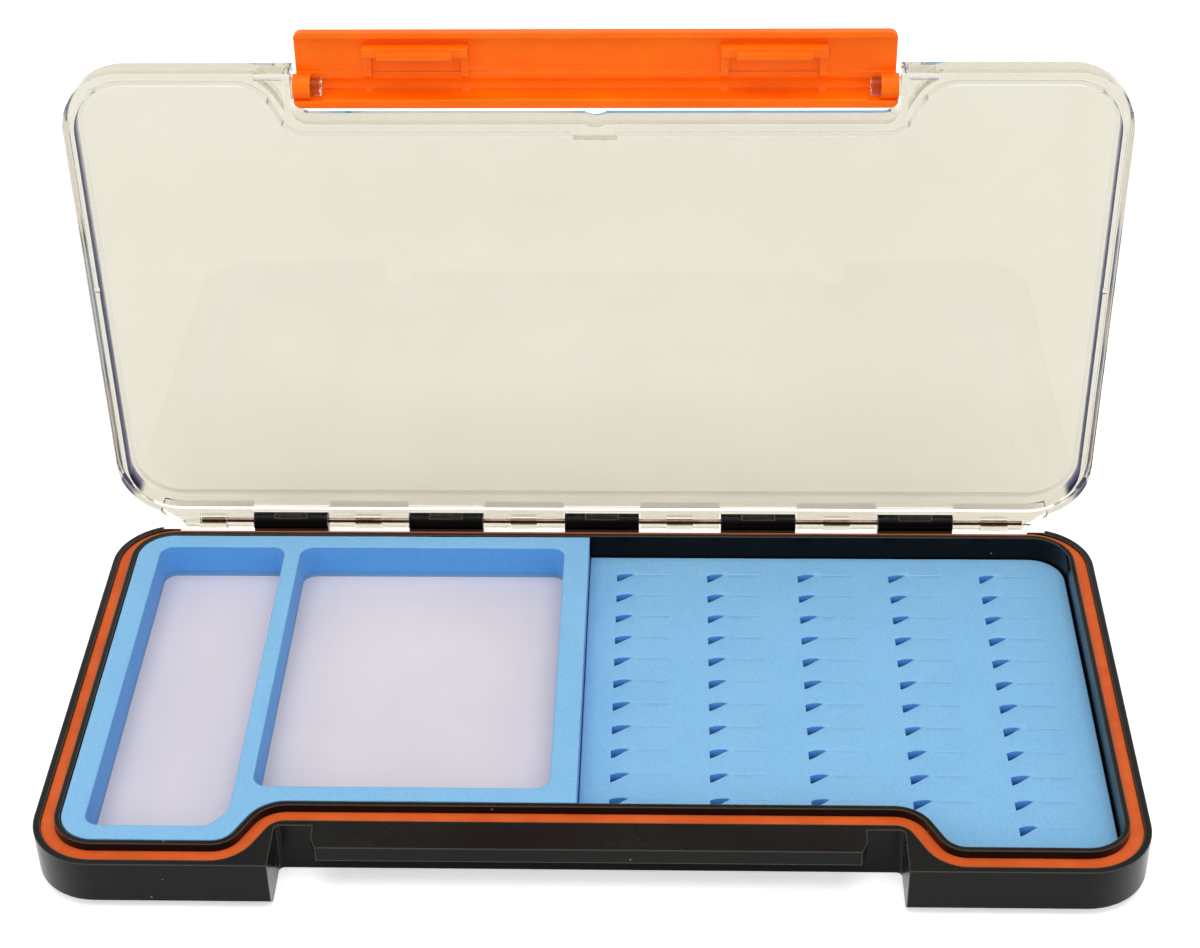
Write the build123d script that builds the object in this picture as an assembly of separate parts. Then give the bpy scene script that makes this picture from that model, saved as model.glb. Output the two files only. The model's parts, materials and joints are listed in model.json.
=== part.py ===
from build123d import *
import math
import os

# Slim waterproof fly box: a notched tray with a gasket, a clear hinged lid, a snap latch that swings on
# the lid, and foam and magnet inserts. Millimetres. +X right, +Y towards the hinge, +Z up. The origin is
# the centre of the tray's underside. The lid and the latch are drawn closed, then turned to the open pose.

# ---- Case -------------------------------------------------------------------------------------------
box_width = 190.0
box_depth = 95.0
base_height = 10.0
lid_height = 5.5
corner_radius = 11.5
base_edge_chamfer = 1.6
lid_edge_radius = 1.2
floor_thickness = 1.3
parting_gap = 0.1

# ---- Latch notch in the front, and the S-shaped rim that passes behind it ---------------------------
notch_width = 107.0
notch_depth = 9.8
base_notch_fillet = 1.0
lid_notch_fillet = 2.5
rim_turn_setback = 1.8
rim_inner_radius = 2.3
rim_outer_radius = 8.8
rim_slope_deg = 63.0

# ---- Tray rim: outer wall, gasket channel and raised lip --------------------------------------------
outer_wall = 1.2
channel_width = 2.55
channel_depth = 2.6
lip_thickness = 0.95
lip_rise = 1.2
seal_height = 2.2
seal_side_clearance = 0.05
hinge_wall_drop = 1.5
hinge_wall_end_margin = 8.0

# ---- Catch rail: an inverted L that the latch hooks under -------------------------------------------
rail_width = 94.0
rail_reach = 5.4
rail_height = 3.0
rail_wall = 1.5
rail_bevel = 1.0
rail_bevel_depth = 2.4

# ---- Hinge ------------------------------------------------------------------------------------------
hinge_offset = 1.5
hinge_rise = 0.3
pin_radius = 0.5
pin_clearance = 0.04
pin_left_margin = 15.5
pin_right_margin = 12.3
knuckle_radius = 1.8
knuckle_width = 14.7
knuckle_count = 5
knuckle_side_clearance = 0.2
knuckle_relief = 0.25
knuckle_slot_width = 6.4
knuckle_slot_depth = 0.5
gusset_height = 3.0
ring_width = 5.2
ring_end_margin = 17.9
flange_end_margin = 7.4
flange_end_slope = 1.5
flange_root_rise = 2.9

# ---- Lid --------------------------------------------------------------------------------------------
panel_thickness = 1.3
lid_wall = 2.2
tongue_clearance = 0.15
tongue_seal_gap = 0.05
lid_inner_chamfer = 0.9
pocket_wall = 1.3
pocket_backing = 1.7
nick_width = 1.0
nick_y = -4.0
tab_width = 8.0
tab_thickness = 0.6
tab_height = 1.2
scallop_width = 4.0
scallop_depth = 0.6

# ---- Latch: a channel-section bar with two ears and two hooks ---------------------------------------
latch_setback = 0.6
latch_plate = 1.3
latch_thick_plate = 1.5
latch_step_drop = 2.1
latch_flange = 1.1
latch_depth = 2.2
latch_top_depth = 4.2
latch_top_flange = 1.6
latch_bevel_start = 2.2
latch_bevel_deg = 30.0
latch_edge_radius = 0.8
latch_corner_radius = 1.4
latch_below = 9.8
pivot_drop = 3.1
pivot_setback = 3.6
stub_radius = 1.7
stub_clearance = 0.05
stub_length = 5.1
ear_radius = 2.3
ear_width = 3.1
ear_gap = 0.3
ear_overhang = 0.4
ear_web_drop = 1.0
hook_left = 22.1
hook_right = 40.7
hook_thickness = 1.65
hook_engagement = 1.2
hook_gap = 0.3
nose_inset = 2.7
nose_reach = 1.1
nose_thickness = 1.2
rib_width = 1.4
rib_depth = 1.0

# ---- Inserts ----------------------------------------------------------------------------------------
insert_clearance = 0.2
adhesive_thickness = 0.1
underlay_height = 1.9
magnet_thickness = 0.5
foam_split_x = -2.2
foam_joint_gap = 0.1
frame_foam_height = 7.2
slit_foam_height = 4.8
slit_foam_side_gap = 0.8
frame_left_wall = 4.5
frame_back_wall = 3.9
frame_front_wall = 3.7
frame_notch_wall = 3.8
small_compartment_width = 24.3
frame_middle_wall = 3.1
frame_right_wall = 4.8
frame_corner_radius = 2.5
frame_diagonal_x = 3.0
frame_diagonal_y = 3.9

# ---- Fly slits: a wedge-shaped mouth that runs out into a thin slit ---------------------------------
slit_columns = 5
slit_column_pitch = 17.55
slit_row_pitch = 6.35
slit_left_margin = 5.3
slit_back_margin = 5.6
slit_length = 10.8
slit_mouth_length = 3.2
slit_mouth_height = 2.3
slit_line_width = 0.15
slit_depth = 3.2
slit_margin = 3.0

# ---- Open pose --------------------------------------------------------------------------------------
lid_open_deg = 90.6
latch_open_deg = 90.0

# ---- Worked out from the above ----------------------------------------------------------------------
half_width = box_width / 2
half_depth = box_depth / 2
half_notch = notch_width / 2
notch_wall_y = -half_depth + notch_depth
rim_turn_x = half_notch - rim_turn_setback
rim_slope = math.radians(rim_slope_deg)
rim_radii = rim_inner_radius + rim_outer_radius
rim_straight = (notch_depth - rim_radii * (1 - math.cos(rim_slope))) / math.sin(rim_slope)
rim_foot_x = rim_turn_x + rim_radii * math.sin(rim_slope) + rim_straight * math.cos(rim_slope)
channel_inset = outer_wall + channel_width
cavity_inset = channel_inset + lip_thickness
channel_floor = base_height - channel_depth
lip_top = base_height + lip_rise
seal_top = channel_floor + seal_height
hinge_wall_top = base_height - hinge_wall_drop
hinge_y = half_depth + hinge_offset
hinge_z = base_height + hinge_rise
bore_radius = pin_radius + pin_clearance
lid_bottom = base_height + parting_gap
lid_top = lid_bottom + lid_height
panel_bottom = lid_top - panel_thickness
tongue_inset = outer_wall + tongue_clearance
tongue_bottom = seal_top + tongue_seal_gap
knuckle_pitch = 2 * (half_width - ring_end_margin) / knuckle_count
lid_gap_half = knuckle_width / 2 + knuckle_side_clearance
pivot_y = -half_depth + pivot_setback
pivot_z = lid_top - pivot_drop
latch_front = -half_depth + latch_setback
latch_inner = latch_front + latch_plate
latch_bottom = pivot_z - latch_below
ear_end = half_notch - ear_gap
latch_half = ear_end - ear_overhang
rail_front = notch_wall_y - rail_reach
rail_bottom = base_height - rail_height
hook_top = rail_bottom - hook_gap
hook_tip = rail_front + hook_engagement
insert_inset = cavity_inset + insert_clearance
underlay_bottom = floor_thickness + adhesive_thickness
underlay_top = underlay_bottom + underlay_height
magnet_bottom = underlay_top + adhesive_thickness
magnet_top = magnet_bottom + magnet_thickness
frame_bottom = magnet_top + adhesive_thickness
frame_top = frame_bottom + frame_foam_height
slit_bottom = floor_thickness + adhesive_thickness
slit_top = slit_bottom + slit_foam_height
cavity_half = half_width - cavity_inset
cavity_back = half_depth - cavity_inset
right_insert_x = foam_split_x + foam_joint_gap
slit_first_x = right_insert_x + slit_left_margin
slit_first_y = cavity_back - slit_back_margin


def span(low, high):
    """The middle and the length of a stretch along one axis."""
    return (low + high) / 2, high - low


def block(x, y, z):
    """A box between two limits on each axis."""
    (mid_x, size_x), (mid_y, size_y), (mid_z, size_z) = span(*x), span(*y), span(*z)
    return Pos(mid_x, mid_y, mid_z) * Box(size_x, size_y, size_z)


def plate(x, y):
    """A flat rectangle between two limits on each axis."""
    (mid_x, size_x), (mid_y, size_y) = span(*x), span(*y)
    return Pos(mid_x, mid_y) * Rectangle(size_x, size_y)


def bar(profile, x):
    """A profile drawn in the YZ plane, run along X between two limits."""
    return Pos(x[0], 0, 0) * extrude(Plane.YZ * profile, x[1] - x[0])


def rod(y, z, radius, x):
    """A round bar along X."""
    return bar(Pos(y, z) * Circle(radius), x)


def slab(outline, z):
    """A plan outline raised between two heights."""
    return Pos(0, 0, z[0]) * extrude(outline, z[1] - z[0])


def both_sides(shape):
    """A shape and its mirror image in X."""
    return shape + mirror(shape, about=Plane.YZ)


def top_edges(shape):
    """The edges at the highest level of a shape."""
    return shape.edges().group_by(Axis.Z)[-1]


def box_outline(inset=0.0):
    """The rounded rectangle of the case, before the notch."""
    return RectangleRounded(box_width - 2 * inset, box_depth - 2 * inset, corner_radius - inset)


def notch_outline(radius, wall=0.0):
    """The latch notch in plan, grown by a wall, with its inner corners rounded."""
    reach = notch_depth + wall
    shape = Pos(0, -half_depth) * Rectangle(notch_width + 2 * wall, 2 * reach)
    return fillet(shape.vertices().group_by(Axis.Y)[-1], radius + wall)


def rim_outline(inset):
    """The S-cornered outline that the gasket follows, moved in from the outside of the case."""
    upper = rim_inner_radius + inset
    lower = rim_outer_radius - inset
    corner = corner_radius - inset
    back = notch_wall_y + inset
    front = -half_depth + inset
    round_x = half_width - corner_radius
    round_y = half_depth - corner_radius
    upper_arc = CenterArc((rim_turn_x, back - upper), upper, 90, -rim_slope_deg)
    lower_arc = CenterArc((rim_foot_x, front + lower), lower, 270 - rim_slope_deg, rim_slope_deg)
    front_arc = CenterArc((round_x, -round_y), corner, 270, 90)
    back_arc = CenterArc((round_x, round_y), corner, 0, 90)
    half = Line((0, back), upper_arc @ 0) + upper_arc + Line(upper_arc @ 1, lower_arc @ 0) + lower_arc
    half += Line(lower_arc @ 1, front_arc @ 0) + front_arc + Line(front_arc @ 1, back_arc @ 0) + back_arc
    half += Line(back_arc @ 1, (0, half_depth - inset))
    return make_face(half.edges() + mirror(half, about=Plane.YZ).edges())


def rim_ring(outer, inner, z):
    """A wall that follows the rim between two insets."""
    return slab(rim_outline(outer) - rim_outline(inner), z)


def knuckle_touch(from_z, side):
    """Where a line from the back wall, at one height, touches the round of the knuckles."""
    away_y = half_depth - hinge_y
    away_z = from_z - hinge_z
    turn = side * math.acos(knuckle_radius / math.hypot(away_y, away_z))
    angle = math.atan2(away_z, away_y) + turn
    return hinge_y + knuckle_radius * math.cos(angle), hinge_z + knuckle_radius * math.sin(angle)


def places(count):
    """Middles along X of so many hinge pieces at the knuckle pitch."""
    return [(i - (count - 1) / 2) * knuckle_pitch for i in range(count)]


def base_knuckle_profile():
    """A round knuckle carried on a gusset from the back wall of the tray."""
    root_y = half_depth - outer_wall / 2
    foot_z = hinge_wall_top - gusset_height
    gusset = make_face(Polyline((root_y, foot_z), (half_depth, foot_z), knuckle_touch(foot_z, 1),
                                (hinge_y, hinge_z), (root_y, hinge_wall_top), close=True))
    return Pos(hinge_y, hinge_z) * Circle(knuckle_radius) + gusset


def lid_flange_profile():
    """The open half-shell bearing of the lid: the part of a knuckle above the pin, with its web."""
    root_y = half_depth - lid_wall / 2
    root_z = hinge_z + flange_root_rise
    web = make_face(Polyline((root_y, hinge_z), (root_y, root_z), (half_depth, root_z),
                             knuckle_touch(root_z, -1), (hinge_y, hinge_z), close=True))
    below = plate((half_depth - lid_wall, hinge_y + 2 * knuckle_radius),
                  (hinge_z - 2 * knuckle_radius, hinge_z))
    return Pos(hinge_y, hinge_z) * Circle(knuckle_radius) + web - below


def catch_rail():
    """The rail in the notch, hollow underneath, with its ends bevelled."""
    end = rail_width / 2
    outline = make_face(Polyline((-end, notch_wall_y), (-end, rail_front + rail_bevel_depth),
                                 (-end + rail_bevel, rail_front), (end - rail_bevel, rail_front),
                                 (end, rail_front + rail_bevel_depth), (end, notch_wall_y), close=True))
    inside = end - rail_wall
    hollow = block((-inside, inside), (rail_front + rail_wall, notch_wall_y),
                   (rail_bottom, base_height - rail_wall))
    return slab(outline, (rail_bottom, base_height)) - hollow


def base_shell():
    tray = slab(box_outline(), (0, base_height))
    tray = chamfer(tray.edges().group_by(Axis.Z)[0], base_edge_chamfer)
    tray -= slab(notch_outline(base_notch_fillet), (0, base_height))
    tray -= slab(rim_outline(cavity_inset), (floor_thickness, base_height))
    tray -= rim_ring(outer_wall, channel_inset, (channel_floor, base_height))
    tray += rim_ring(channel_inset, cavity_inset, (channel_floor, lip_top))
    open_half = half_width - hinge_wall_end_margin
    wall_y = (half_depth - outer_wall, half_depth)
    tray -= block((-open_half, open_half), wall_y, (hinge_wall_top, base_height))
    tray += catch_rail()
    for x in places(knuckle_count):
        tray += bar(base_knuckle_profile(), (x - knuckle_width / 2, x + knuckle_width / 2))
        slot_floor = hinge_z + knuckle_radius - knuckle_slot_depth
        tray -= block((x - knuckle_slot_width / 2, x + knuckle_slot_width / 2),
                      (half_depth - outer_wall, hinge_y + knuckle_radius), (slot_floor, lid_top))
    return tray - rod(hinge_y, hinge_z, bore_radius, (-half_width, half_width))


def seal_ring():
    outer = outer_wall + seal_side_clearance
    inner = channel_inset - seal_side_clearance
    return rim_ring(outer, inner, (channel_floor, seal_top))


def hinge_pin():
    ends = (pin_left_margin - half_width, half_width - pin_right_margin)
    return rod(hinge_y, hinge_z, pin_radius, ends)


def lid_hinge():
    """The hinge flange: half shells over the pin, full rings in the gaps, and diagonal ends."""
    end = half_width - flange_end_margin
    far_y = hinge_y + 2 * knuckle_radius
    flange = bar(lid_flange_profile(), (-end, end))
    for x in places(knuckle_count + 1):
        flange += rod(hinge_y, hinge_z, knuckle_radius, (x - ring_width / 2, x + ring_width / 2))
    for x in places(knuckle_count):
        flange -= block((x - lid_gap_half, x + lid_gap_half), (0, far_y), (0, 2 * lid_top))
    tip = end - flange_end_slope * (far_y - half_depth)
    corner = make_face(Polyline((end, half_depth), (half_width, half_depth), (half_width, far_y),
                                (tip, far_y), close=True))
    return flange - both_sides(slab(corner, (0, 2 * lid_top)))


def lid_shell():
    lid = slab(box_outline(), (lid_bottom, lid_top))
    lid = fillet(top_edges(lid), lid_edge_radius)
    lid -= slab(notch_outline(lid_notch_fillet), (lid_bottom, lid_top))
    hollow = slab(rim_outline(lid_wall), (lid_bottom, panel_bottom))
    lid -= chamfer(top_edges(hollow), lid_inner_chamfer)
    pocket_side = notch_outline(lid_notch_fillet, pocket_wall)
    pockets = box_outline(pocket_wall) - pocket_side - rim_outline(lid_wall - pocket_backing)
    lid -= slab(pockets, (lid_bottom, panel_bottom))
    tongue = rim_ring(tongue_inset, lid_wall, (tongue_bottom, lid_bottom))
    tongue -= both_sides(block((half_width - lid_wall, half_width),
                               (nick_y - nick_width / 2, nick_y + nick_width / 2),
                               (tongue_bottom, lid_bottom)))
    lid += tongue
    tab_y = notch_wall_y + lid_wall
    lid += block((-tab_width / 2, tab_width / 2), (tab_y - tongue_clearance, tab_y + tab_thickness),
                 (tongue_bottom, tongue_bottom + tab_height))
    scallop_radius = (scallop_width ** 2 / 4 + scallop_depth ** 2) / (2 * scallop_depth)
    scallop = Pos(0, notch_wall_y + scallop_depth - scallop_radius) * Circle(scallop_radius)
    lid -= slab(scallop, (lid_bottom, lid_top))
    lid += lid_hinge()
    lid -= rod(hinge_y, hinge_z, bore_radius, (-half_width, half_width))
    for x in places(knuckle_count):
        lid -= rod(hinge_y, hinge_z, knuckle_radius + knuckle_relief, (x - lid_gap_half, x + lid_gap_half))
    stub = rod(pivot_y, pivot_z, stub_radius, (half_notch - stub_length, half_notch + pocket_wall))
    return lid + both_sides(stub)


def latch_hook():
    """One hook on the right half: a ledge with a narrower nose, and a rib up each side."""
    hook = block((hook_left, hook_right), (latch_inner, hook_tip - nose_reach),
                 (hook_top - hook_thickness, hook_top))
    hook += block((hook_left + nose_inset, hook_right - nose_inset), (latch_inner, hook_tip),
                  (hook_top - nose_thickness, hook_top))
    for rib_x in (hook_left, hook_right - rib_width):
        hook += block((rib_x, rib_x + rib_width), (latch_inner, latch_inner + rib_depth),
                      (hook_top, lid_top - latch_top_flange))
    return hook


def latch_bar():
    corners = Rectangle(2 * latch_half, lid_top - latch_bottom)
    corners = fillet(corners.vertices(), latch_corner_radius)
    outline = Plane.XZ * (Pos(0, (lid_top + latch_bottom) / 2) * corners)
    back = latch_front + latch_top_depth
    latch = Pos(0, latch_front, 0) * extrude(outline, -latch_top_depth)
    latch = fillet(latch.edges().group_by(Axis.Y)[0], latch_edge_radius)
    wide = (-half_width, half_width)
    step_z = pivot_z - latch_step_drop
    latch -= block(wide, (latch_front + latch_depth, back), (latch_bottom, step_z))
    latch -= block(wide, (latch_inner, back), (latch_bottom + latch_flange, step_z))
    latch -= block(wide, (latch_front + latch_thick_plate, back), (step_z, lid_top - latch_top_flange))
    bevel_y = latch_front + latch_bevel_start
    bevel_z = lid_top - (back - bevel_y) * math.tan(math.radians(latch_bevel_deg))
    # The wide upper flange is bevelled, so that the thrown-back latch passes over the catch rail.
    latch -= bar(make_face(Polyline((bevel_y, lid_top), (back, lid_top), (back, bevel_z), close=True)), wide)
    ear = Pos(pivot_y, pivot_z) * Circle(ear_radius)
    web_z = (pivot_z - ear_web_drop, lid_top - latch_flange / 2)
    ear += plate((latch_front + latch_edge_radius, pivot_y), web_z)
    latch += both_sides(bar(ear, (ear_end - ear_width, ear_end)))
    latch += both_sides(latch_hook())
    return latch - rod(pivot_y, pivot_z, stub_radius + stub_clearance, wide)


def compartments():
    """The two cut-outs of the foam frame, the left one with its front corner cut off."""
    left = -cavity_half + frame_left_wall
    middle_left = left + small_compartment_width
    middle_right = middle_left + frame_middle_wall
    right = foam_split_x - frame_right_wall
    back = cavity_back - frame_back_wall
    front = -cavity_back + frame_front_wall
    notch_front = notch_wall_y + cavity_inset + frame_notch_wall
    small = make_face(Polyline((left, back), (middle_left, back), (middle_left, front + frame_diagonal_y),
                               (middle_left - frame_diagonal_x, front), (left, front), close=True))
    large = plate((middle_right, right), (notch_front, back))
    return fillet(small.vertices(), frame_corner_radius) + fillet(large.vertices(), frame_corner_radius)


def left_insert():
    """Plan outline of what lies under and round the compartments."""
    return rim_outline(insert_inset) & plate((-half_width, foam_split_x), (-half_depth, half_depth))


def right_insert():
    """Plan outline of the slit foam, which stands a little clear of the right wall."""
    loose = Pos(insert_clearance - slit_foam_side_gap, 0) * rim_outline(insert_inset)
    right = plate((right_insert_x, half_width), (-half_depth, half_depth))
    return rim_outline(insert_inset) & loose & right


def fly_slits():
    """Plan outline of all the slits, in columns as long as the foam allows."""
    thin = slit_mouth_length * (1 - slit_line_width / slit_mouth_height)
    slit = make_face(Polyline((0, 0), (slit_length, 0), (slit_length, -slit_line_width),
                              (thin, -slit_line_width), (0, -slit_mouth_height), close=True))
    spots = []
    for column in range(slit_columns):
        x = slit_first_x + column * slit_column_pitch
        front = (-half_depth if x > rim_foot_x else notch_wall_y) + insert_inset
        room = slit_first_y - slit_mouth_height - slit_margin - front
        for row in range(int(room / slit_row_pitch) + 1):
            spots.append(Pos(x, slit_first_y - row * slit_row_pitch) * slit)
    return Sketch() + spots


def opened_lid(shape):
    """A shape drawn on the closed lid, turned to the open pose about the hinge."""
    return shape.rotate(Axis((0, hinge_y, hinge_z), (1, 0, 0)), -lid_open_deg)


def opened_latch(shape):
    """The closed latch, swung out about its stub axles and then carried up by the lid."""
    return opened_lid(shape.rotate(Axis((0, pivot_y, pivot_z), (1, 0, 0)), -latch_open_deg))


nodes = {
    "base_shell": base_shell(),
    "seal_ring": seal_ring(),
    "hinge_pin": hinge_pin(),
    "underlay_adhesive": slab(left_insert(), (floor_thickness, underlay_bottom)),
    "underlay_foam": slab(left_insert(), (underlay_bottom, underlay_top)),
    "magnet_adhesive": slab(left_insert(), (underlay_top, magnet_bottom)),
    "magnet_sheet": slab(left_insert(), (magnet_bottom, magnet_top)),
    "compartment_foam_adhesive": slab(left_insert() - compartments(), (magnet_top, frame_bottom)),
    "compartment_foam": slab(left_insert() - compartments(), (frame_bottom, frame_top)),
    "slit_foam_adhesive": slab(right_insert(), (floor_thickness, slit_bottom)),
    "slit_foam": slab(right_insert(), (slit_bottom, slit_top))
    - slab(fly_slits(), (slit_top - slit_depth, slit_top)),
    "lid_shell": opened_lid(lid_shell()),
    "latch_bar": opened_latch(latch_bar()),
}

os.makedirs("parts", exist_ok=True)
for name, shape in nodes.items():
    shape.label = name
    export_step(shape, f"parts/{name}.step")
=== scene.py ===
import json
import math
import random

import bmesh
import bpy
from mathutils import Matrix, Vector, noise
from mathutils.geometry import delaunay_2d_cdt


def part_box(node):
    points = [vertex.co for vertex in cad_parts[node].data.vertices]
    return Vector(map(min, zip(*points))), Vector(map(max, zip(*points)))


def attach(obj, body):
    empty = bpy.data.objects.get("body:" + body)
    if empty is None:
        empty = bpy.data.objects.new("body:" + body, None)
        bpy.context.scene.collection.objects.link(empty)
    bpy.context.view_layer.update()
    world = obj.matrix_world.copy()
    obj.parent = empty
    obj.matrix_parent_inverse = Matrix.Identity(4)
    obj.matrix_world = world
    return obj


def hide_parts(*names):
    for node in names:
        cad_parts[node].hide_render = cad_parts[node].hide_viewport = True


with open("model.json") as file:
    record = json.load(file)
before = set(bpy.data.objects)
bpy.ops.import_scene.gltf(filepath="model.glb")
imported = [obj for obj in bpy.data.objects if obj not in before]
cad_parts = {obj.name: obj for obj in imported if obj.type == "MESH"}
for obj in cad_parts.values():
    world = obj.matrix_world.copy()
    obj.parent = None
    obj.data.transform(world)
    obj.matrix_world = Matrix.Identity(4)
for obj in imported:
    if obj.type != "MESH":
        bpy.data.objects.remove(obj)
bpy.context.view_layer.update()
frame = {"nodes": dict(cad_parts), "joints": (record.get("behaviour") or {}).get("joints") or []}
nodes = frame["nodes"]
rng = random.Random(7)
MM = 0.001

# ---- Slit mouths, in millimetres; the CAD has the first three sizes as well -------------------------
SLIT_DEPTH = 3.2
SLIT_MOUTH_LENGTH = 3.2
SLIT_MOUTH_HEIGHT = 2.3
MOUTH_EXTRA_LENGTH = 0.25
MOUTH_LENGTH_CHANGE = (-0.15, 0.2)
MOUTH_HEIGHT_CHANGE = (-0.05, 0.15)
# The outline of a mouth, in shares of its length and height from its back left corner.
MOUTH_OUTLINE = (
    (0, -0.14), (0.01, -0.5), (0.02, -1), (0.2, -0.86), (0.45, -0.6), (0.7, -0.3), (0.88, -0.11),
    (1, 0), (0.8, 0.06), (0.55, 0.07), (0.28, 0.01),
)
# How far each ring of a mouth's wall stands in, how deep it lies, and how much of the mouth it leans.
MOUTH_RINGS = ((-0.03, 0.03, 0), (0, 0.12, 0), (0, 1.3, 0.3), (0, SLIT_DEPTH, 0.42))
LIP_INSET = -0.1

# ---- Slit lines and the foam that stands up behind them, in millimetres -----------------------------
LINE_GAP = 0.16
LINE_DROP = 0.09
LINE_BACK = -0.08
LINE_PARTS = 8
LINE_ASIDE = (0.09, 0.2, -0.1)
LINE_SWAY = 0.05
LINE_SWAY_CHANGE = (-0.5, 0.5)
LINE_SWAY_TURN = 0.8
RISE = (-0.03, 0.05)
FIRST_ROW_RISE = (0.07, 0.09)
RISE_FROM = -0.01
RISE_TO = 1.3
RISE_FADE = 1.31
# Where along a slit, in shares of its length, its foam starts and ends to stand up, and how steeply.
RISE_START = -0.02
RISE_START_SLOPE = 8
RISE_END = 1.15
RISE_END_SLOPE = 5
# How wide the painted highlight on the lip behind a slit is, and how strong it gets for each millimetre
# that the foam stands up.
LIP_HIGHLIGHT_WIDTH = 0.1
LIP_HIGHLIGHT_FOR_RISE = 6

# ---- Foam meshes, in millimetres --------------------------------------------------------------------
FOAM_STEP = 1.2
FOAM_EDGE_RADIUS = 0.28
THIN_FOAM_EDGE_RADIUS = 0.15
OUTER_WALL_BOW = 0.08
HOLE_WALL_BOW = 0.1
RIM_STEPS = 4
WALL_ROWS = 4
# The height and the length of the waves in a foam's top.
FOAM_WAVES = ((0.05, 9), (0.02, 2.5))
# How far the spots over a foam's top keep from its edge, its cuts and its holes.
CLEAR_OF_EDGE = 0.4
CLEAR_OF_CUTS = 0.3
CLEAR_OF_HOLES = 0.7
# How far a spot strays, in steps.
SPOT_CHANGE = 0.25
# A corner of an outline moves in by no more than the distance over this share.
SHARPEST_CORNER = 0.45
CUT_SHADE_DEPTH = 2.2
# The slit foam reaches this much further to the right, from SPREAD_FROM on over SPREAD_RUN.
FOAM_SPREAD = 0.45
SPREAD_FROM = 55
SPREAD_RUN = 20

# ---- The lid's side walls at rest, in millimetres from the middle and towards the back --------------
LID_SIDES_FROM = 80
LID_OUTER_FACE = 94.5
# Where the painted violet reflection on the side walls' inner faces is strong and where it is weak.
VIOLET_STRONG_TO = 50.2
VIOLET_WEAK_FROM = 52.8

# ---- The latch's wide flange, from its pivot, in millimetres ----------------------------------------
FLANGE_HALF = 53.15
FLANGE_MIDDLE_HALF = 47.9
FLANGE_BACK = -1.7
FLANGE_TIP = 2.4
FLANGE_INNER = 1.46
FLANGE_END_INNER = 1.8
FLANGE_OUTER = 3.1
FLANGE_CORNER = 1.4
FLANGE_CORNER_STEPS = 6
FLANGE_EDGE = 0.2
# How far the open lid and its latch lean past upright, in degrees.
OPEN_LEAN = 0.6

# ---- Camera: image, focal length and middle row in pixels, then turns in degrees --------------------
IMAGE_WIDTH = 1200
IMAGE_HEIGHT = 948
FOCAL_LENGTH = 2403.557
MIDDLE_ROW = 540
SENSOR_WIDTH = 36
CAMERA_PLACE = (0.014214, -0.33318, 0.293891)
CAMERA_TURN = 2.2
CAMERA_LOOK_DOWN = 37.005
CAMERA_ROLL = -1.068

# ---- Softboxes: name, place, size in metres and power in watts --------------------------------------
LIGHT_TARGET = (0, 0, 0.02)
SOFTBOXES = (
    ("softbox_top", (0.0, -0.1, 1.5), (1.8, 1.2), 14.5),
    ("softbox_left", (-1.5, -0.6, 1.0), (0.9, 0.9), 4.8),
    ("softbox_right", (1.5, -0.4, 1.0), (0.9, 0.9), 4),
)
FRONT_FILL = ("fill_front", (0.1, -1.7, 1.0), (1.4, 0.8), 10)

# ---- What the floor adds to its own light for the camera, for a mirror and through glass ------------
FLOOR_SHOWN = 0.4
FLOOR_MIRRORED = 0.3
FLOOR_THROUGH = 0.02

# ---- World: colours, and how far back or up a direction goes before it shows white ------------------
WORLD_LIGHT = (0.36, 0.36, 0.36, 1)
WORLD_SIDES = (0.07, 0.07, 0.13)
WORLD_BACKDROP = (0.35, 0.6)
WORLD_CEILING = (0.45, 0.75)
WHITE = (1, 1, 1, 1)


# ---- Camera -----------------------------------------------------------------------------------------
def add_camera():
    """A long lens that looks 37 degrees down on the open box."""
    data = bpy.data.cameras.new("camera")
    data.sensor_width = SENSOR_WIDTH
    data.lens = FOCAL_LENGTH * SENSOR_WIDTH / IMAGE_WIDTH
    data.shift_y = (MIDDLE_ROW - IMAGE_HEIGHT / 2) / IMAGE_WIDTH
    data.clip_start = 0.01
    data.clip_end = 50
    camera = bpy.data.objects.new("camera", data)
    bpy.context.scene.collection.objects.link(camera)
    turn = Matrix.Rotation(math.radians(CAMERA_TURN), 4, "Z")
    tilt = Matrix.Rotation(math.radians(90 - CAMERA_LOOK_DOWN), 4, "X")
    roll = Matrix.Rotation(math.radians(CAMERA_ROLL), 4, "Z")
    camera.matrix_world = Matrix.Translation(CAMERA_PLACE) @ turn @ tilt @ roll
    bpy.context.scene.camera = camera


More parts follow.
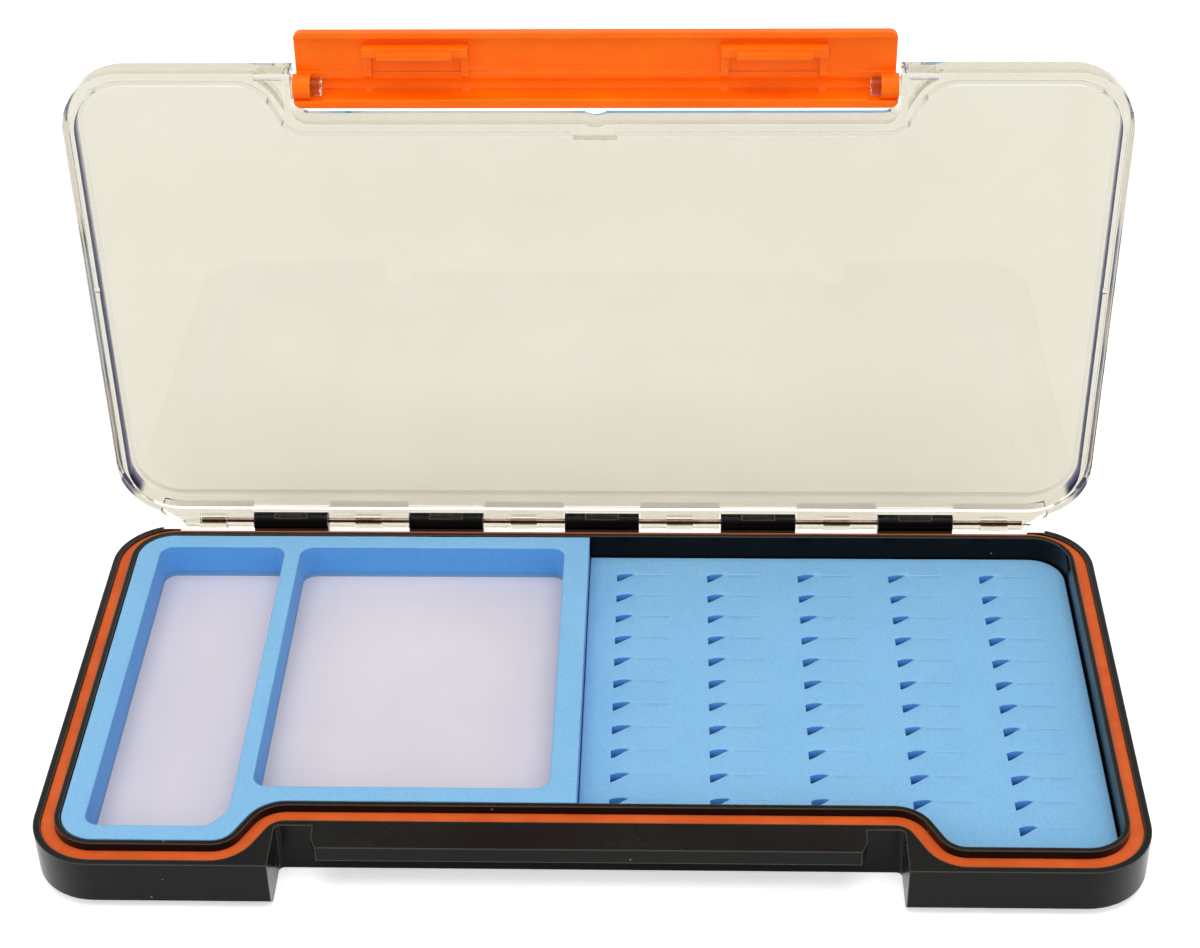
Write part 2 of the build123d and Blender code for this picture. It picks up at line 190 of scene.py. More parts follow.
# ---- Node trees -------------------------------------------------------------------------------------
class Tree:
    """The shader nodes of a material or a world."""

    def __init__(self, owner, output="OutputMaterial"):
        owner.use_nodes = True
        self.owner = owner
        self.tree = owner.node_tree
        self.tree.nodes.clear()
        self.output = self.add(output)
        self.coords = self.add("TexCoord").outputs["Object"]

    def add(self, kind, inputs=None, **settings):
        made = self.tree.nodes.new("ShaderNode" + kind)
        for key, value in settings.items():
            setattr(made, key, value)
        for key, value in (inputs or {}).items():
            if isinstance(value, bpy.types.NodeSocket):
                self.tree.links.new(value, made.inputs[key])
            else:
                made.inputs[key].default_value = value
        return made

    def surface(self, socket):
        self.tree.links.new(socket, self.output.inputs["Surface"])
        return self.owner

    def noise(self, scale, detail, roughness=0.55, stretch=None):
        """Noise over the object's own coordinates, with so many cells to a metre."""
        vector = self.coords
        if stretch:
            vector = self.add("Mapping", {"Vector": vector, "Scale": stretch}).outputs["Vector"]
        made = self.add("TexNoise", {"Vector": vector, "Scale": scale, "Detail": detail,
                                     "Roughness": roughness})
        return made.outputs["Fac"]

    def cells(self, scale):
        """The distance and the random colour of a cell pattern."""
        made = self.add("TexVoronoi", {"Vector": self.coords, "Scale": scale})
        return made.outputs["Distance"], made.outputs["Color"]

    def ramp(self, value, low, high, to_low=0.0, to_high=1.0):
        """A smooth step from to_low to to_high while the value goes from low to high."""
        made = self.add("MapRange", {"Value": value, "From Min": low, "From Max": high,
                                     "To Min": to_low, "To Max": to_high}, interpolation_type="SMOOTHSTEP")
        return made.outputs["Result"]

    def math(self, operation, a, b=0.0):
        return self.add("Math", {0: a, 1: b}, operation=operation).outputs["Value"]

    def part(self, vector, axis):
        return self.add("SeparateXYZ", {"Vector": vector}).outputs[axis]

    def mix(self, factor, a, b):
        """Mixes two colours."""
        made = self.add("Mix", {"Factor": factor}, data_type="RGBA")
        for key, value in ((6, a), (7, b)):
            if isinstance(value, bpy.types.NodeSocket):
                self.tree.links.new(value, made.inputs[key])
            else:
                made.inputs[key].default_value = (*value, 1.0)
        return made.outputs[2]

    def bump(self, height, distance, strength, under=None):
        inputs = {"Height": height, "Distance": distance, "Strength": strength}
        if under:
            inputs["Normal"] = under
        return self.add("Bump", inputs).outputs["Normal"]

    def dot(self, a, b):
        return self.add("VectorMath", {0: a, 1: b}, operation="DOT_PRODUCT").outputs["Value"]

    def soft_normal(self, radius):
        return self.add("Bevel", {"Radius": radius}, samples=6).outputs["Normal"]

    def edges(self, radius):
        """1 on sharp edges and 0 away from them."""
        flat = self.add("NewGeometry").outputs["Normal"]
        return self.ramp(self.dot(self.soft_normal(radius), flat), 0.9, 0.995, 1.0, 0.0)

    def specks(self, scale, size, share):
        """Tiny dots in a few of the cells of a pattern."""
        distance, colour = self.cells(scale)
        dot = self.ramp(distance, size * 0.6, size, 1.0, 0.0)
        picked = self.math("LESS_THAN", self.add("SeparateColor", {"Color": colour}).outputs[0], share)
        return self.math("MULTIPLY", dot, picked)


def material_tree(name):
    return Tree(bpy.data.materials.new(name))


def black_plastic():
    t = material_tree("black_plastic")
    broad = t.noise(45, 4, 0.6)
    grain = t.noise(2600, 2)
    fine = t.noise(900, 3)
    dust = t.specks(420, 0.09, 0.06)
    edge = t.edges(0.38 * MM)
    colour = t.mix(t.ramp(broad, 0.35, 0.7), (0.0022, 0.0025, 0.003), (0.0045, 0.004, 0.0036))
    # Olive on sharp edges: partly edge wear, partly a painted highlight of the rounded edges.
    colour = t.mix(t.math("MULTIPLY", edge, 0.65), colour, (0.13, 0.115, 0.075))
    colour = t.mix(t.math("MULTIPLY", dust, 0.5), colour, (0.38, 0.38, 0.37))
    rough = t.ramp(t.math("ADD", broad, t.math("MULTIPLY", fine, 0.25)), 0.4, 0.9, 0.15, 0.32)
    normal = t.bump(grain, 0.012 * MM, 0.5, t.soft_normal(0.22 * MM))
    normal = t.bump(broad, 0.25 * MM, 0.12, normal)
    made = t.add("BsdfPrincipled", {"Base Color": colour, "Roughness": rough, "Normal": normal,
                                    "IOR": 1.5, "Specular Tint": (0.18, 0.18, 0.18, 1.0)})
    return t.surface(made.outputs["BSDF"])


def orange_rubber():
    t = material_tree("orange_rubber")
    broad = t.noise(160, 3)
    grain = t.noise(1800, 3)
    dust = t.specks(500, 0.08, 0.05)
    colour = t.mix(t.ramp(broad, 0.3, 0.7), (0.60, 0.088, 0.012), (0.70, 0.115, 0.018))
    colour = t.mix(t.math("MULTIPLY", dust, 0.45), colour, (0.25, 0.04, 0.015))
    rough = t.ramp(grain, 0.3, 0.7, 0.42, 0.6)
    normal = t.bump(grain, 0.02 * MM, 0.4, t.soft_normal(0.35 * MM))
    made = t.add("BsdfPrincipled", {"Base Color": colour, "Roughness": rough, "Normal": normal,
                                    "IOR": 1.43, "Specular IOR Level": 0.3})
    return t.surface(made.outputs["BSDF"])


def steel():
    t = material_tree("steel")
    drawn = t.noise(900, 4, 0.6, (0.06, 1.0, 1.0))
    spots = t.noise(300, 3)
    colour = t.mix(t.ramp(spots, 0.45, 0.75), (0.27, 0.2, 0.16), (0.2, 0.11, 0.07))
    rough = t.ramp(drawn, 0.3, 0.7, 0.16, 0.34)
    normal = t.bump(drawn, 0.01 * MM, 0.5)
    made = t.add("BsdfPrincipled", {"Base Color": colour, "Roughness": rough, "Normal": normal,
                                    "Metallic": 1.0, "Anisotropic": 0.5})
    return t.surface(made.outputs["BSDF"])


def adhesive_film():
    t = material_tree("adhesive_film")
    grain = t.noise(700, 3)
    colour = t.mix(grain, (0.62, 0.64, 0.66), (0.74, 0.75, 0.77))
    rough = t.ramp(grain, 0.3, 0.7, 0.35, 0.6)
    made = t.add("BsdfPrincipled", {"Base Color": colour, "Roughness": rough,
                                    "Normal": t.bump(grain, 0.02 * MM, 0.4)})
    return t.surface(made.outputs["BSDF"])


def magnet_face():
    t = material_tree("magnet_rubber")
    broad = t.noise(22, 3)
    grain = t.noise(2200, 3)
    waves = {"Vector": t.coords, "Scale": 210, "Distortion": 1.2, "Detail": 2.0, "Detail Scale": 3.0}
    ribs = t.add("TexWave", waves, bands_direction="Y").outputs["Fac"]
    dust = t.specks(130, 0.07, 0.035)
    colour = t.mix(t.ramp(broad, 0.3, 0.7), (0.64, 0.605, 0.665), (0.70, 0.655, 0.71))
    colour = t.mix(t.math("MULTIPLY", ribs, 0.05), colour, (0.5, 0.48, 0.55))
    colour = t.mix(t.math("MULTIPLY", dust, 0.8), colour, (0.06, 0.05, 0.06))
    rough = t.ramp(grain, 0.3, 0.7, 0.3, 0.45)
    normal = t.bump(grain, 0.01 * MM, 0.4)
    normal = t.bump(ribs, 0.01 * MM, 0.25, normal)
    made = t.add("BsdfPrincipled", {"Base Color": colour, "Roughness": rough, "Normal": normal,
                                    "IOR": 1.46})
    return t.surface(made.outputs["BSDF"])


def foam(name, upright_shade_low, upright_shade_high, top=None):
    """Closed-cell foam: a pale skin of tiny cells, with painted shade that makes its upright faces a
    darker, deeper blue and darker still down in a slit, and a painted highlight on the lips behind slits.
    """
    t = material_tree(name)
    broad = t.noise(60, 4, 0.6)
    grain = t.noise(3000, 3, 0.7)
    pores, _ = t.cells(2300)
    dust = t.specks(260, 0.06, 0.03)
    up = t.math("ABSOLUTE", t.part(t.add("NewGeometry").outputs["Normal"], "Z"))
    skin = t.mix(t.ramp(grain, 0.3, 0.75), (0.18, 0.43, 0.70), (0.24, 0.51, 0.77))
    skin = t.mix(t.math("MULTIPLY", t.ramp(pores, 0.1, 0.45, 1.0, 0.0), 0.22), skin, (0.13, 0.35, 0.66))
    skin = t.mix(t.math("MULTIPLY", t.ramp(broad, 0.35, 0.7), 0.12), skin, (0.33, 0.62, 0.86))
    # Painted shade: upright faces take a darker, deeper blue than the top.
    cut = t.mix(t.ramp(grain, 0.3, 0.75), upright_shade_low, upright_shade_high)
    # Painted shade, darker towards the bottom of a slit.
    if top:
        deep = t.ramp(t.part(t.coords, "Z"), top - CUT_SHADE_DEPTH * MM, top, 1.0, 0.0)
        cut = t.mix(deep, cut, (0.006, 0.045, 0.2))
    colour = t.mix(t.ramp(up, 0.25, 0.8), cut, skin)
    # Painted highlight on the edge of the foam that stands up behind a slit.
    lip = t.add("Attribute", attribute_name="lip").outputs["Fac"]
    colour = t.mix(lip, colour, (0.34, 0.6, 0.84))
    colour = t.mix(t.math("MULTIPLY", dust, 0.35), colour, (0.55, 0.6, 0.64))
    height = t.math("SUBTRACT", grain, t.math("MULTIPLY", t.ramp(pores, 0.05, 0.4, 1.0, 0.0), 0.7))
    normal = t.bump(height, 0.06 * MM, 0.5)
    normal = t.bump(broad, 0.3 * MM, 0.15, normal)
    made = t.add("BsdfPrincipled", {"Base Color": colour, "Roughness": 0.85, "Normal": normal,
                                    "IOR": 1.35, "Specular IOR Level": 0.3, "Sheen Weight": 0.12,
                                    "Sheen Roughness": 0.5})
    return t.surface(made.outputs["BSDF"])


def clear_plastic():
    """Clear moulded plastic, with a painted highlight on its edges and inner chamfer, and a painted dark
    violet reflection on the inner faces of its two side walls.

    Shadows and bounced light pass straight through it, and what has gone through many of its faces dims,
    to a painted dark violet on its side walls, which count as two faces more.
    """
    t = material_tree("clear_plastic")
    broad = t.noise(28, 3)
    haze = t.noise(240, 4, 0.65)
    dust = t.specks(300, 0.05, 0.02)
    rough = t.ramp(haze, 0.45, 0.85, 0.0, 0.05)
    rough = t.math("ADD", rough, t.math("MULTIPLY", dust, 0.5))
    facing = t.add("TexCoord").outputs["Normal"]
    # Painted highlight on the inner chamfer, which faces down and forwards: the glass is clear there.
    chamfer_highlight = t.ramp(t.dot(facing, (0, -0.707, -0.707)), 0.85, 0.97)
    colour = t.mix(t.ramp(broad, 0.3, 0.7), (0.76, 0.73, 0.62), (0.785, 0.755, 0.645))
    # Painted highlight: the glass is nearly untinted on its sharp edges.
    colour = t.mix(t.edges(0.45 * MM), colour, (0.97, 0.96, 0.92))
    colour = t.mix(chamfer_highlight, colour, (1.0, 0.99, 0.95))
    glass = t.add("BsdfPrincipled", {"Base Color": colour, "Roughness": rough,
                                     "Normal": t.bump(broad, 0.2 * MM, 0.06), "IOR": 1.5,
                                     "Specular Tint": (0.3, 0.3, 0.3, 1.0), "Transmission Weight": 1.0})

    # Painted dark violet reflection on the inner faces of the two side walls, stronger nearer the middle
    # and weaker further back.
    sideways = t.math("ABSOLUTE", t.part(facing, "X"))
    across = t.math("ABSOLUTE", t.part(t.coords, "X"))
    on_side = t.math("GREATER_THAN", across, LID_SIDES_FROM * MM)
    side_face = t.math("MULTIPLY", t.ramp(sideways, 0.35, 0.85), on_side)
    inner_face = t.math("MULTIPLY", t.ramp(sideways, 0.72, 0.85),
                        t.math("LESS_THAN", across, LID_OUTER_FACE * MM))
    depth = t.ramp(t.part(t.coords, "Y"), VIOLET_STRONG_TO * MM, VIOLET_WEAK_FROM * MM, 0.9, 0.35)
    violet = t.math("MULTIPLY", t.math("MULTIPLY", inner_face, on_side), depth)
    painted_dark_reflection = t.add("BsdfTransparent", {"Color": (0.05, 0.05, 0.16, 1.0)})
    wall = t.add("MixShader", {0: violet, 1: glass.outputs["BSDF"], 2: painted_dark_reflection.outputs["BSDF"]})

    path = t.add("LightPath")
    # Past four faces a ray goes straight out, dimmed; side walls count as two faces more and dim to a
    # painted dark violet reflection.
    faces_passed_plus_side_walls = t.math("ADD", path.outputs["Ray Depth"], t.math("MULTIPLY", side_face, 2))
    late = t.math("GREATER_THAN", faces_passed_plus_side_walls, 4.5)
    dim = t.add("BsdfTransparent", {"Color": t.mix(side_face, (0.66, 0.62, 0.55), (0.07, 0.06, 0.18))})
    seen = t.add("MixShader", {0: late, 1: wall.outputs["Shader"], 2: dim.outputs["BSDF"]})
    skip = t.math("MAXIMUM", path.outputs["Is Shadow Ray"], path.outputs["Is Diffuse Ray"])
    clear = t.add("BsdfTransparent", {"Color": (0.88, 0.86, 0.82, 1.0)})
    both = t.add("MixShader", {0: skip, 1: seen.outputs["Shader"], 2: clear.outputs["BSDF"]})
    return t.surface(both.outputs["Shader"])


def orange_plastic():
    t = material_tree("orange_plastic")
    broad = t.noise(70, 3)
    grain = t.noise(2000, 2)
    edge = t.edges(0.35 * MM)
    scuffs = t.noise(260, 5, 0.7, (0.2, 1.0, 1.0))
    colour = t.mix(t.ramp(broad, 0.3, 0.7), (0.95, 0.135, 0.001), (0.99, 0.165, 0.002))
    colour = t.mix(t.math("MULTIPLY", edge, 0.4), colour, (0.98, 0.26, 0.035))
    rough = t.ramp(scuffs, 0.35, 0.8, 0.22, 0.42)
    normal = t.bump(grain, 0.006 * MM, 0.4, t.soft_normal(0.2 * MM))
    made = t.add("BsdfPrincipled", {"Base Color": colour, "Roughness": rough, "Normal": normal,
                                    "IOR": 1.5, "Specular IOR Level": 0.12})
    return t.surface(made.outputs["BSDF"])


# ---- Foam inserts -----------------------------------------------------------------------------------
def outlines(node, z):
    """The closed outlines of a node's flat face at one height, as lists of points in plan."""
    mesh = nodes[node].data
    spots = {}

    def spot(index):
        co = mesh.vertices[index].co
        key = (round(co.x, 6), round(co.y, 6))
        spots[key] = (co.x, co.y)
        return key

    count = {}
    for face in mesh.polygons:
        corners = list(face.vertices)
        if all(abs(mesh.vertices[i].co.z - z) < 1e-5 for i in corners):
            keys = [spot(i) for i in corners]
            for a, b in zip(keys, keys[1:] + keys[:1]):
                count[a, b] = count.get((a, b), 0) + 1
    follow = {}
    for (a, b), times in count.items():
        if (b, a) not in count:
            follow[a] = b
    loops = []
    while follow:
        start = next(iter(follow))
        loop = [start]
        point = follow.pop(start)
        while point != start:
            loop.append(point)
            point = follow.pop(point)
        loops.append([spots[p] for p in loop])
    return loops


def area(loop):
    """The area in an outline, positive where it runs anticlockwise."""
    return sum(a[0] * b[1] - b[0] * a[1] for a, b in zip(loop, loop[1:] + loop[:1])) / 2


def in_millimetres(loop):
    """An outline in millimetres that runs anticlockwise."""
    scaled = [Vector((x / MM, y / MM)) for x, y in loop]
    return scaled if area(scaled) > 0 else scaled[::-1]


def divided(loop, step):
    """The outline with its long runs divided into steps."""
    fine = []
    for here, after in zip(loop, loop[1:] + loop[:1]):
        parts = max(1, round((after - here).length / step))
        fine += [here.lerp(after, i / parts) for i in range(parts)]
    return fine


def moved_in(loop, distance):
    """The outline moved to its inner side by a distance."""
    result = []
    for before, here, after in zip(loop[-1:] + loop[:-1], loop, loop[1:] + loop[:1]):
        arriving = (here - before).normalized()
        leaving = (after - here).normalized()
        side = Vector((-arriving.y - leaving.y, arriving.x + leaving.x)).normalized()
        square = side.dot(Vector((-arriving.y, arriving.x)))
        result.append(here + side * distance / max(square, SHARPEST_CORNER))
    return result


def inside(loop, x, y):
    hit = False
    for a, b in zip(loop, loop[1:] + loop[:1]):
        if (a.y > y) != (b.y > y) and x < a.x + (y - a.y) / (b.y - a.y) * (b.x - a.x):
            hit = not hit
    return hit


def around(loop, margin):
    xs = [p.x for p in loop]
    ys = [p.y for p in loop]
    return min(xs) - margin, max(xs) + margin, min(ys) - margin, max(ys) + margin


def within(limits, x, y):
    return limits[0] < x < limits[1] and limits[2] < y < limits[3]


def ring_of(mesh, loop, height):
    return [mesh.verts.new((p.x, p.y, height(p.x, p.y))) for p in loop]


def skirt(mesh, upper, lower):
    for a, b, c, d in zip(upper, upper[1:] + upper[:1], lower[1:] + lower[:1], lower):
        mesh.faces.new((a, b, c, d))


def fill(mesh, outer, holes, height, spots=(), lines=()):
    """Fills the flat between rings with triangles, through extra spots and along extra lines."""
    points, edges, made = [], [], []
    for ring in (outer, *holes):
        first = len(points)
        points += [v.co.xy for v in ring]
        made += ring
        edges += [(first + i, first + (i + 1) % len(ring)) for i in range(len(ring))]
    for line in lines:
        first = len(points)
        points += [Vector((x, y)) for x, y, _ in line]
        made += [mesh.verts.new((x, y, height(x, y) - drop)) for x, y, drop in line]
        edges += [(first + i, first + i + 1) for i in range(len(line) - 1)]
    for x, y in spots:
        points.append(Vector((x, y)))
        made.append(mesh.verts.new((x, y, height(x, y))))
    found, _, faces, origins, _, _ = delaunay_2d_cdt(points, edges, [], 0, 1e-6, True)
    corners = [made[o[0]] if o else mesh.verts.new((*p, height(*p))) for p, o in zip(found, origins)]
    rim = [v.co.xy for v in outer]
    gaps = [(around(loop, 0), loop) for loop in ([v.co.xy for v in ring] for ring in holes)]
    for face in faces:
        x = sum(found[i].x for i in face) / 3
        y = sum(found[i].y for i in face) / 3
        if not inside(rim, x, y) or any(within(box, x, y) and inside(gap, x, y) for box, gap in gaps):
            continue
        mesh.faces.new([corners[i] for i in face])


def rounded_rim(mesh, loop, side, radius, high, lift):
    """The first and last ring from the wall round to the top, with side 1 outside and -1 at a hole."""
    rings = []
    for i in range(RIM_STEPS + 1):
        turn = math.pi / 2 * i / RIM_STEPS
        moved = moved_in(loop, side * radius * (1 - math.cos(turn)))
        z = high - radius + radius * math.sin(turn)
        rings.append(ring_of(mesh, moved, lambda x, y, z=z: z + lift(x, y)))
        if i:
            skirt(mesh, rings[-2], rings[-1])
    return rings[0], rings[-1]


def wall(mesh, loop, upper, high, low, bow):
    """A cut wall below a ring of vertices, bowed a little, which ends in the ring at its foot."""
    above = upper
    for row in range(1, WALL_ROWS + 1):
        part = row / WALL_ROWS
        moved = moved_in(loop, bow * math.sin(math.pi * part))
        ring = ring_of(mesh, moved, lambda x, y: high + (low - high) * part)
        skirt(mesh, above, ring)
        above = ring
    return above


def scattered(outer, holes, radius, kept_clear):
    """Spots over a foam's top, a step apart and a little uneven, clear of its edges and cuts."""
    room = moved_in(outer, radius + CLEAR_OF_EDGE)
    open_holes = [(around(hole, 0.5), moved_in(hole, -CLEAR_OF_HOLES)) for hole in holes]
    left, right, front, back = around(outer, 0)
    spots = []
    for row in range(int((back - front) / FOAM_STEP)):
        for column in range(int((right - left) / FOAM_STEP)):
            x = left + (column + 0.5 + rng.uniform(-SPOT_CHANGE, SPOT_CHANGE)) * FOAM_STEP
            y = front + (row + 0.5 + rng.uniform(-SPOT_CHANGE, SPOT_CHANGE)) * FOAM_STEP
            if any(within(box, x, y) for box in kept_clear) or not inside(room, x, y):
                continue
            if any(within(box, x, y) and inside(gap, x, y) for box, gap in open_holes):
                continue
            spots.append((x, y))
    return spots


def foam_mesh(outer, holes, low, high, lift, mouths=(), lines=(), radius=FOAM_EDGE_RADIUS):
    """A foam slab with rounded edges, through holes and blind wedge mouths, as a closed mesh."""
    mesh = bmesh.new()
    outer = divided(outer, FOAM_STEP)
    holes = [divided(hole, FOAM_STEP) for hole in holes]
    start, rim = rounded_rim(mesh, outer, 1, radius, high, lift)
    foot = wall(mesh, outer, start, high - radius, low, OUTER_WALL_BOW)
    gaps, feet = [], []
    for hole in holes:
        start, edge = rounded_rim(mesh, hole, -1, radius, high, lift)
        gaps.append(edge)
        feet.append(wall(mesh, hole, start, high - radius, low, HOLE_WALL_BOW))
    for mouth in mouths:
        gaps.append(mouth_walls(mesh, mouth, high, lift))
    kept_clear = [around([v.co.xy for v in gap], CLEAR_OF_CUTS) for gap in gaps[len(holes):]]
    kept_clear += [around([Vector(p[:2]) for p in line], CLEAR_OF_CUTS) for line in lines]
    spots = scattered(outer, holes, radius, kept_clear)
    fill(mesh, rim, gaps, lambda x, y: high + lift(x, y), spots, lines)
    fill(mesh, foot, feet, lambda x, y: low)
    bmesh.ops.recalc_face_normals(mesh, faces=mesh.faces)
    data = bpy.data.meshes.new("foam")
    mesh.to_mesh(data)
    mesh.free()
    data.transform(Matrix.Scale(MM, 4))
    return data


def mouth_walls(mesh, mouth, high, lift):
    """The walls and floor of one wedge mouth, whose back leans forwards as it goes down, and its lip."""
    lip = ring_of(mesh, moved_in(mouth, LIP_INSET), lambda x, y: high + lift(x, y))
    above = lip
    back = max(p.y for p in mouth)
    for inset, depth, lean in MOUTH_RINGS:
        upright = moved_in(mouth, inset)
        loop = [Vector((p.x, p.y + (back - SLIT_MOUTH_HEIGHT - p.y) * lean)) for p in upright]
        ring = ring_of(mesh, loop, lambda x, y: high + lift(x, y) - depth)
        skirt(mesh, above, ring)
        above = ring
    mesh.faces.new(above)
    return lip


def foam_piece(name, data, node, finish, lip=None):
    """A padded piece that stands for a foam node, with the painted highlight on its cut lips as an
    attribute.
    """
    for face in data.polygons:
        face.use_smooth = True
    pale = data.attributes.new("lip", "FLOAT", "POINT")
    if lip:
        for vertex, value in zip(data.vertices, pale.data):
            value.value = lip(vertex.co.x / MM, vertex.co.y / MM)
    data.name = name
    data.materials.append(finish)
    made = bpy.data.objects.new(name, data)
    bpy.context.scene.collection.objects.link(made)
    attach(made, "base")
    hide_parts(node)


def waves(x, y, seed):
    """The slight unevenness of a foam surface, in millimetres."""
    return sum(high * noise.noise(Vector((x / length, y / length, seed))) for high, length in FOAM_WAVES)


def compartment_foam(finish):
    """The foam frame round the two compartments."""
    low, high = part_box("compartment_foam")
    loops = sorted(map(in_millimetres, outlines("compartment_foam", high.z)), key=area)
    data = foam_mesh(loops[-1], loops[:-1], low.z / MM, high.z / MM, lambda x, y: waves(x, y, 3))
    foam_piece("foam_frame", data, "compartment_foam", finish)


class Slit:
    """One slit for flies: its place and length, how its foam stands up and how its line sways."""

    def __init__(self, loop):
        self.left = min(p.x for p in loop)
        self.back = max(p.y for p in loop)
        self.length = max(p.x for p in loop) - self.left
        self.rise = rng.uniform(*RISE)
        self.sway = rng.uniform(*LINE_SWAY_CHANGE)

    def raised(self, x, y):
        """How far the foam behind the slit stands up from the foam in front of it."""
        along = (x - self.left - SLIT_MOUTH_LENGTH) / (self.length - SLIT_MOUTH_LENGTH)
        off = y - self.back
        if not (RISE_START < along < RISE_END and RISE_FROM < off < RISE_TO):
            return 0.0
        ends = min(1, (along - RISE_START) * RISE_START_SLOPE, (RISE_END - along) * RISE_END_SLOPE)
        return self.rise * (1 - off / RISE_FADE) ** 2 * ends

    def on_lip(self, x, y):
        """Whether a spot is on the edge of the foam behind the slit."""
        beside = self.left + SLIT_MOUTH_LENGTH < x < self.left + self.length
        return beside and 0 < y - self.back < LIP_HIGHLIGHT_WIDTH

    def mouth_and_lines(self):
        """The mouth's outline, then the slit's line and the lines of points that follow it."""
        tall = SLIT_MOUTH_HEIGHT + rng.uniform(*MOUTH_HEIGHT_CHANGE)
        long = SLIT_MOUTH_LENGTH + MOUTH_EXTRA_LENGTH + rng.uniform(*MOUTH_LENGTH_CHANGE)
        mouth = [Vector((self.left + long * u, self.back + tall * v)) for u, v in MOUTH_OUTLINE]
        start = self.left + long + LINE_GAP
        run = self.left + self.length - start
        middle = []
        for i in range(LINE_PARTS + 1):
            sway = LINE_SWAY * self.sway * math.sin(i * LINE_SWAY_TURN)
            middle.append((start + run * i / LINE_PARTS, self.back + LINE_BACK + sway))
        lines = [[(x, y, LINE_DROP if 0 < i < LINE_PARTS else 0.0) for i, (x, y) in enumerate(middle)]]
        for aside in LINE_ASIDE:
            lines.append([(x, y + aside, 0.0) for x, y in middle[1:-1]])
        return mouth, lines


def slit_foam(finish):
    """The foam that holds the flies: rows of wedge mouths, each with a nearly closed slit beside it."""
    low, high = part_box("slit_foam")
    loops = sorted(map(in_millimetres, outlines("slit_foam", high.z)), key=area)
    slits = [Slit(loop) for loop in loops[:-1]]
    first_row = max(slit.back for slit in slits)
    for slit in slits:
        if slit.back > first_row - 1:
            slit.rise = rng.uniform(*FIRST_ROW_RISE)

    def lift(x, y):
        return waves(x, y, 8) + sum(slit.raised(x, y) for slit in slits)

    def lip(x, y):
        """How strong the painted highlight on the edge of the foam behind a slit is, which is more where
        it stands up.
        """
        rise = next((slit.rise for slit in slits if slit.on_lip(x, y)), 0.0)
        return min(1.0, max(0.0, rise * LIP_HIGHLIGHT_FOR_RISE))

    mouths, lines = [], []
    for slit in slits:
        mouth, new_lines = slit.mouth_and_lines()
        mouths.append(mouth)
        lines += new_lines
    outer = []
    for point in loops[-1]:
        share = min(1.0, max(0.0, (point.x - SPREAD_FROM) / SPREAD_RUN))
        outer.append(point + Vector((FOAM_SPREAD * share, 0)))
    data = foam_mesh(outer, [], low.z / MM, high.z / MM, lift, mouths, lines)
    foam_piece("foam_slits", data, "slit_foam", finish, lip)


def underlay_foam(finish):
    """The pad under the magnet sheet."""
    low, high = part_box("underlay_foam")
    outer = max(map(in_millimetres, outlines("underlay_foam", high.z)), key=area)
    data = foam_mesh(outer, [], low.z / MM, high.z / MM, lambda x, y: 0.0, radius=THIN_FOAM_EDGE_RADIUS)
    foam_piece("foam_underlay", data, "underlay_foam", finish)


# ---- Latch ------------------------------------------------------------------------------------------
def latch_flange(finish):
    """The latch's wide upper flange, at the full thickness of its edge, over the bevelled one."""
    centre = Vector((FLANGE_HALF - FLANGE_CORNER, FLANGE_OUTER - FLANGE_CORNER))
    half = [(FLANGE_MIDDLE_HALF, FLANGE_INNER), (FLANGE_MIDDLE_HALF, FLANGE_END_INNER),
            (FLANGE_HALF, FLANGE_END_INNER)]
    for i in range(1, FLANGE_CORNER_STEPS + 1):
        turn = math.pi / 2 * i / FLANGE_CORNER_STEPS
        half.append((centre.x + FLANGE_CORNER * math.cos(turn), centre.y + FLANGE_CORNER * math.sin(turn)))
    section = half + [(-x, down) for x, down in reversed(half)]
    pivot = Vector(next(j for j in frame["joints"] if j["name"] == "latch_pivot")["pos_m"])
    lean = math.radians(OPEN_LEAN)
    forward = Vector((0, -math.cos(lean), math.sin(lean))) * MM
    below = Vector((0, -math.sin(lean), -math.cos(lean))) * MM
    mesh = bmesh.new()
    rings = []
    for reach in (FLANGE_BACK, FLANGE_TIP):
        spots = [pivot + Vector((x * MM, 0, 0)) + forward * reach + below * down for x, down in section]
        rings.append([mesh.verts.new(spot) for spot in spots])
    skirt(mesh, *rings)
    mesh.faces.new(rings[0])
    mesh.faces.new(rings[1][::-1])
    bmesh.ops.recalc_face_normals(mesh, faces=mesh.faces)
    data = bpy.data.meshes.new("latch_flange")
    mesh.to_mesh(data)
    mesh.free()
    data.materials.append(finish)
    made = bpy.data.objects.new("latch_flange", data)
    bpy.context.scene.collection.objects.link(made)
    soft = made.modifiers.new("edges", "BEVEL")
    soft.width = FLANGE_EDGE * MM
    soft.segments = 3
    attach(made, "latch")


# ---- Stage ------------------------------------------------------------------------------------------
def add_floor():
    """A pale paper floor that the camera sees as white, with the object's shadow."""
    bpy.ops.mesh.primitive_plane_add(size=8, location=(0, 0, -0.0001))
    floor = bpy.context.object
    floor.name = "floor"
    t = material_tree("floor")
    colour = t.mix(t.noise(9, 2), (0.93, 0.93, 0.93), (0.95, 0.95, 0.95))
    paper = t.add("BsdfDiffuse", {"Color": colour, "Roughness": 0.5})
    path = t.add("LightPath")
    through = path.outputs["Is Transmission Ray"]
    mirrored = t.math("MULTIPLY", path.outputs["Is Glossy Ray"], t.math("SUBTRACT", 1, through))
    shine = t.math("MULTIPLY", mirrored, FLOOR_MIRRORED)
    shine = t.math("ADD", shine, t.math("MULTIPLY", through, FLOOR_THROUGH))
    shine = t.math("ADD", shine, t.math("MULTIPLY", path.outputs["Is Camera Ray"], FLOOR_SHOWN))
    glow = t.add("Emission", {"Color": WHITE, "Strength": shine})
    both = t.add("AddShader", {0: paper.outputs["BSDF"], 1: glow.outputs["Emission"]})
    floor.data.materials.append(t.surface(both.outputs["Shader"]))


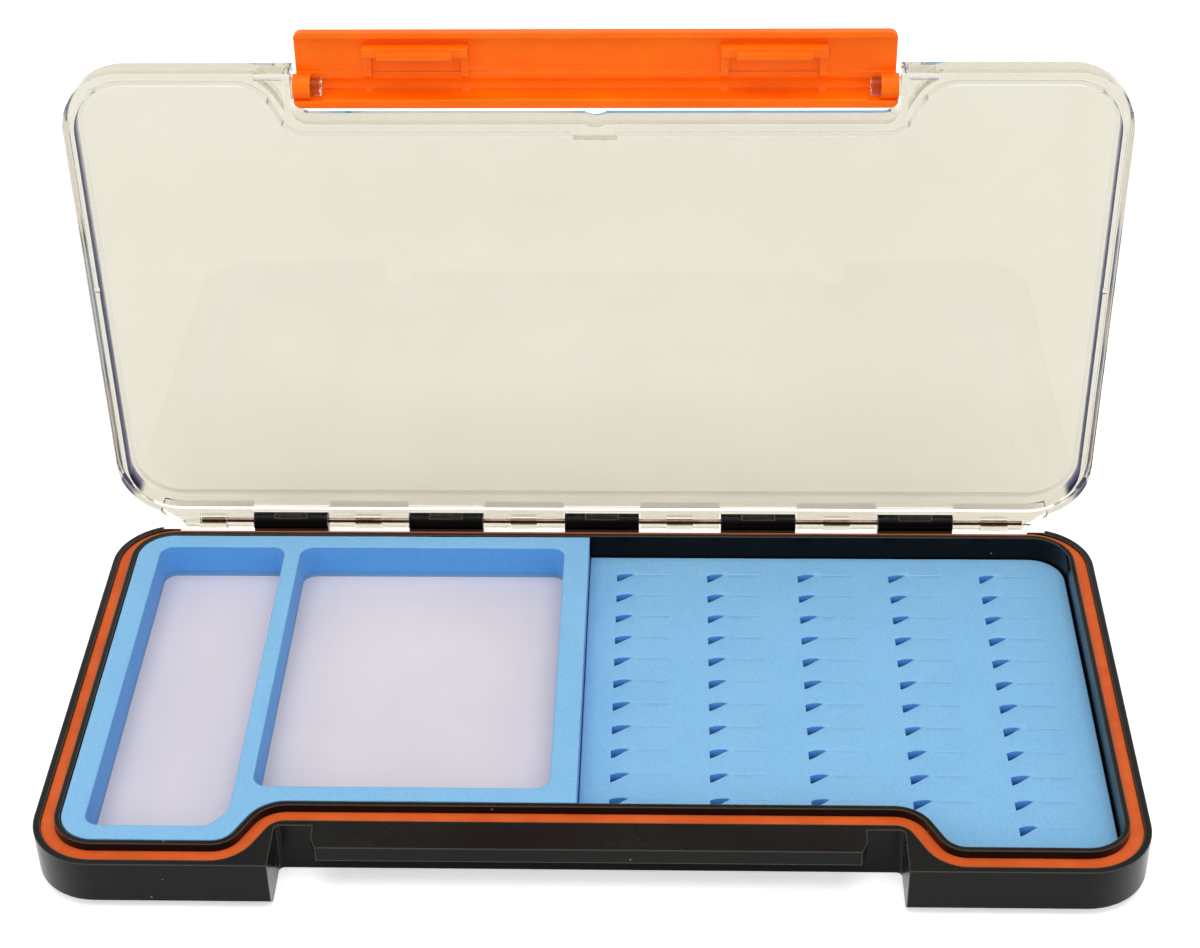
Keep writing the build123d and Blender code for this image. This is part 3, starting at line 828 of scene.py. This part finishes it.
def add_world():
    """White to the camera and grey to bounced light.

    Gloss and glass see it white behind the box and above it, and dark violet elsewhere.
    """
    world = bpy.data.worlds.new("world")
    bpy.context.scene.world = world
    t = Tree(world, "OutputWorld")
    path = t.add("LightPath")
    direction = t.add("TexCoord").outputs["Generated"]
    backdrop = t.ramp(t.part(direction, "Y"), *WORLD_BACKDROP)
    ceiling = t.ramp(t.part(direction, "Z"), *WORLD_CEILING)
    surroundings = t.mix(t.math("MAXIMUM", backdrop, ceiling), WORLD_SIDES, WHITE[:3])
    grey = t.add("Background", {"Color": WORLD_LIGHT}).outputs[0]
    shown = t.add("Background", {"Color": surroundings}).outputs[0]
    white = t.add("Background", {"Color": WHITE}).outputs[0]
    unseen = t.add("MixShader", {0: path.outputs["Is Diffuse Ray"], 1: shown, 2: grey}).outputs[0]
    both = t.add("MixShader", {0: path.outputs["Is Camera Ray"], 1: unseen, 2: white})
    t.surface(both.outputs["Shader"])


def add_light(name, location, size, power):
    """A rectangular lamp that points at the box."""
    data = bpy.data.lights.new(name, "AREA")
    data.shape = "RECTANGLE"
    data.size, data.size_y = size
    data.energy = power
    lamp = bpy.data.objects.new(name, data)
    bpy.context.scene.collection.objects.link(lamp)
    lamp.location = location
    aim = Vector(LIGHT_TARGET) - Vector(location)
    lamp.rotation_euler = aim.to_track_quat("-Z", "Y").to_euler()
    return lamp


add_camera()
add_floor()
add_world()
for softbox in SOFTBOXES:
    add_light(*softbox)
front_fill = add_light(*FRONT_FILL)
front_fill.visible_glossy = False
front_fill.visible_transmission = False
bpy.context.scene.view_settings.view_transform = "Standard"

finishes = {
    "base_shell": black_plastic(),
    "seal_ring": orange_rubber(),
    "hinge_pin": steel(),
    "magnet_sheet": magnet_face(),
    "lid_shell": clear_plastic(),
    "latch_bar": orange_plastic(),
}
film = adhesive_film()
blue_foam = foam("blue_foam", (0.08, 0.31, 0.71), (0.115, 0.36, 0.76))
slit_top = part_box("slit_foam")[1].z
for name in ("magnet_adhesive", "compartment_foam_adhesive", "slit_foam_adhesive", "underlay_adhesive"):
    finishes[name] = film
for name, finish in finishes.items():
    node = nodes[name]
    node.data.materials.clear()
    node.data.materials.append(finish)

compartment_foam(blue_foam)
underlay_foam(blue_foam)
# The slit foam's upright faces get a darker painted shade, for the shade down in its mouths.
slit_foam(foam("blue_foam_slits", (0.03, 0.19, 0.6), (0.045, 0.23, 0.65), slit_top))
latch_flange(finishes["latch_bar"])
